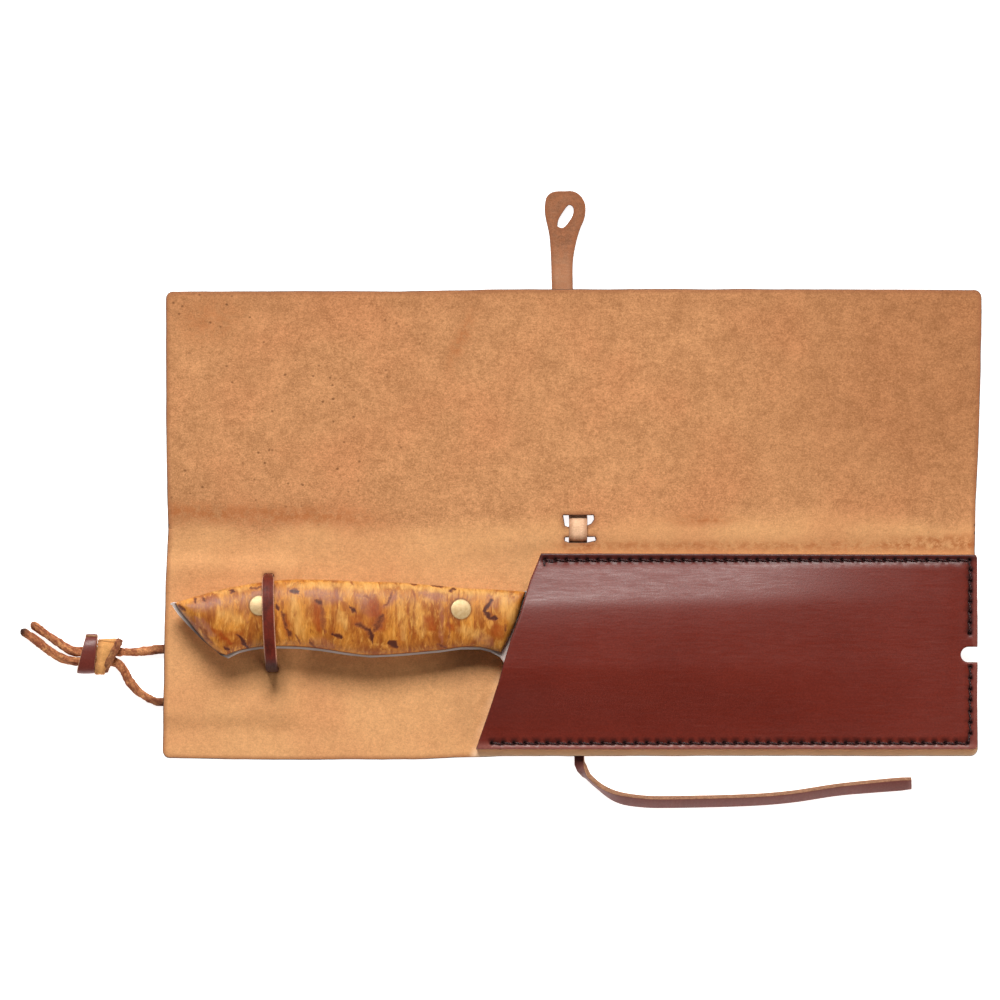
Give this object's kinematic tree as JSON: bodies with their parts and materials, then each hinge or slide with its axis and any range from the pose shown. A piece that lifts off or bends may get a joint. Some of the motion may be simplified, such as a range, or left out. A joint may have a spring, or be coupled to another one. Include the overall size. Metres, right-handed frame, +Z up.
{
  "type": "sheathed knife",
  "caption": "Full-tang knife with burl-wood scales in the stitched blade pocket of an open leather wrap with strap, handle lace and lanyard.",
  "frame": {"origin": "centre of the resting outline, without the free cords, on the surface the wrap lies on", "axes": "+X along the knife from butt to tip, +Y from the pocket panel towards the open flap, +Z up"},
  "size_m": [0.3393, 0.2174, 0.0242],
  "materials": {
    "steel": "satin ground",
    "burl_wood": "oiled and polished burl",
    "brass": "sanded flush",
    "panel_leather": "natural flesh side, dyed grain side",
    "pocket_leather": "dyed and waxed grain side",
    "strap_leather": "dyed grain, natural edges",
    "lace_leather": "dyed grain, natural edges",
    "waxed_thread": "waxed",
    "wrap_leather": "natural",
    "ring_leather": "dyed"
  },
  "bodies": {
    "wrap": {"base_panel": "panel_leather", "pocket_front": "pocket_leather", "welt_top": "panel_leather", "welt_end": "panel_leather", "welt_bottom": "panel_leather", "upper_thread": "waxed_thread", "lower_thread": "waxed_thread", "strap_run": "strap_leather", "strap_tail": "strap_leather", "handle_loop": "lace_leather", "lace_run_a": "lace_leather", "lace_run_b": "lace_leather", "lace_strand_a": "lace_leather", "lace_strand_b": "lace_leather", "lace_wrap": "wrap_leather"},
    "spine": {"spine_panel": "panel_leather", "strap_bridge": "strap_leather"},
    "flap": {"flap_panel": "panel_leather", "strap_tab": "strap_leather"},
    "knife": {"blade": "steel", "near_scale": "burl_wood", "far_scale": "burl_wood", "front_pin": "brass", "rear_pin": "brass"},
    "slider": {"slider_ring": "ring_leather"}
  },
  "joints": [
    {"name": "spine_fold", "type": "hinge", "parent": "wrap", "child": "spine", "pos_m": [0, -0.0248, 0.0044], "axis": [1, 0, 0], "range_deg": [0, 90]},
    {"name": "flap_fold", "type": "hinge", "parent": "spine", "child": "flap", "pos_m": [0, -0.0048, 0.0044], "axis": [1, 0, 0], "range_deg": [0, 90]},
    {"name": "knife_slide", "type": "slide", "parent": "wrap", "child": "knife", "axis": [-0.9991, 0, 0.0425], "range_m": [0, 0.075]},
    {"name": "ring_slide", "type": "slide", "parent": "wrap", "child": "slider", "axis": [-1, 0, 0], "range_m": [0, 0.0035]}
  ]
}
